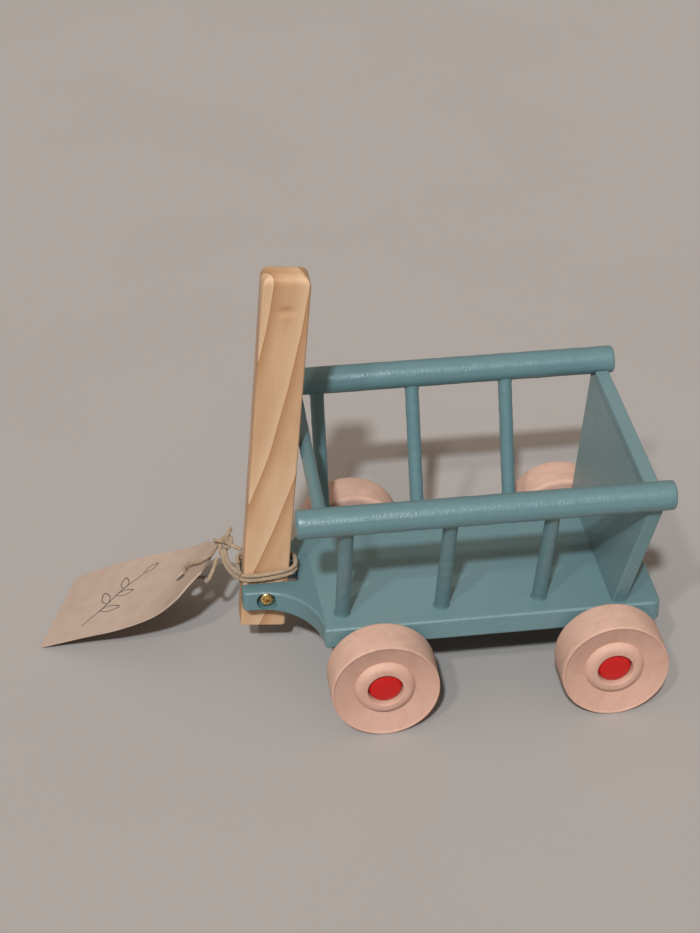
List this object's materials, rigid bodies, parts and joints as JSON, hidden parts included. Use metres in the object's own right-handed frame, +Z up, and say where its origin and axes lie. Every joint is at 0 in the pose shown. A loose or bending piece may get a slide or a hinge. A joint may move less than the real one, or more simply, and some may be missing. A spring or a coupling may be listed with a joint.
{
  "type": "toy wagon",
  "caption": "Small painted wooden hay wagon with slatted rail sides, a sloping tailboard, turned wheels on wooden axles and a pull stick that tilts in a forked nose.",
  "frame": {"origin": "on the ground, under the middle of the wagon's box without its twine and swing tag", "axes": "+Z up, -X towards the nose and the pull stick, +X towards the tailboard, Y across the wagon"},
  "size_m": [0.1726, 0.0838, 0.1233],
  "materials": {
    "blue_paint": "satin dusty blue paint",
    "turned_wood": "bare turned beech",
    "pine": "bare planed pine",
    "red_gloss": "glossy red lacquer",
    "brass": "yellow passivated screw",
    "twine": "natural twisted twine",
    "card": "matt uncoated card"
  },
  "bodies": {
    "wagon": {"deck": "blue_paint", "rail_left": "blue_paint", "rail_right": "blue_paint", "front_cross_bar": "blue_paint", "tailboard": "blue_paint", "axle_block_front": "blue_paint", "axle_block_rear": "blue_paint", "axle_front": "turned_wood", "axle_rear": "turned_wood", "hub_cap_front_left": "red_gloss", "hub_cap_front_right": "red_gloss", "hub_cap_rear_left": "red_gloss", "hub_cap_rear_right": "red_gloss", "pivot_screw": "brass", "twine_knot": "twine", "twine_tail": "twine", "swing_tag": "card", "spindle_left_1": "blue_paint", "spindle_left_2": "blue_paint", "spindle_left_3": "blue_paint", "spindle_right_1": "blue_paint", "spindle_right_2": "blue_paint", "spindle_right_3": "blue_paint"},
    "pull_stick": {"pull_stick": "pine", "twine_loop": "twine"},
    "wheel_front_left": {"wheel_front_left": "turned_wood"},
    "wheel_front_right": {"wheel_front_right": "turned_wood"},
    "wheel_rear_left": {"wheel_rear_left": "turned_wood"},
    "wheel_rear_right": {"wheel_rear_right": "turned_wood"}
  },
  "joints": [
    {"name": "stick_tilt", "type": "hinge", "parent": "wagon", "child": "pull_stick", "pos_m": [-0.05015, 0, 0.02435], "axis": [0, 1, 0], "range_deg": [-34, 0], "deforming": ["twine_loop"]},
    {"name": "wheel_front_left_spin", "type": "hinge", "parent": "wagon", "child": "wheel_front_left", "pos_m": [-0.0211, -0.0361, 0.015], "axis": [0, 1, 0], "continuous": true},
    {"name": "wheel_front_right_spin", "type": "hinge", "parent": "wagon", "child": "wheel_front_right", "pos_m": [-0.0211, 0.0361, 0.015], "axis": [0, 1, 0], "continuous": true},
    {"name": "wheel_rear_left_spin", "type": "hinge", "parent": "wagon", "child": "wheel_rear_left", "pos_m": [0.0424, -0.0361, 0.015], "axis": [0, 1, 0], "continuous": true},
    {"name": "wheel_rear_right_spin", "type": "hinge", "parent": "wagon", "child": "wheel_rear_right", "pos_m": [0.0424, 0.0361, 0.015], "axis": [0, 1, 0], "continuous": true}
  ]
}
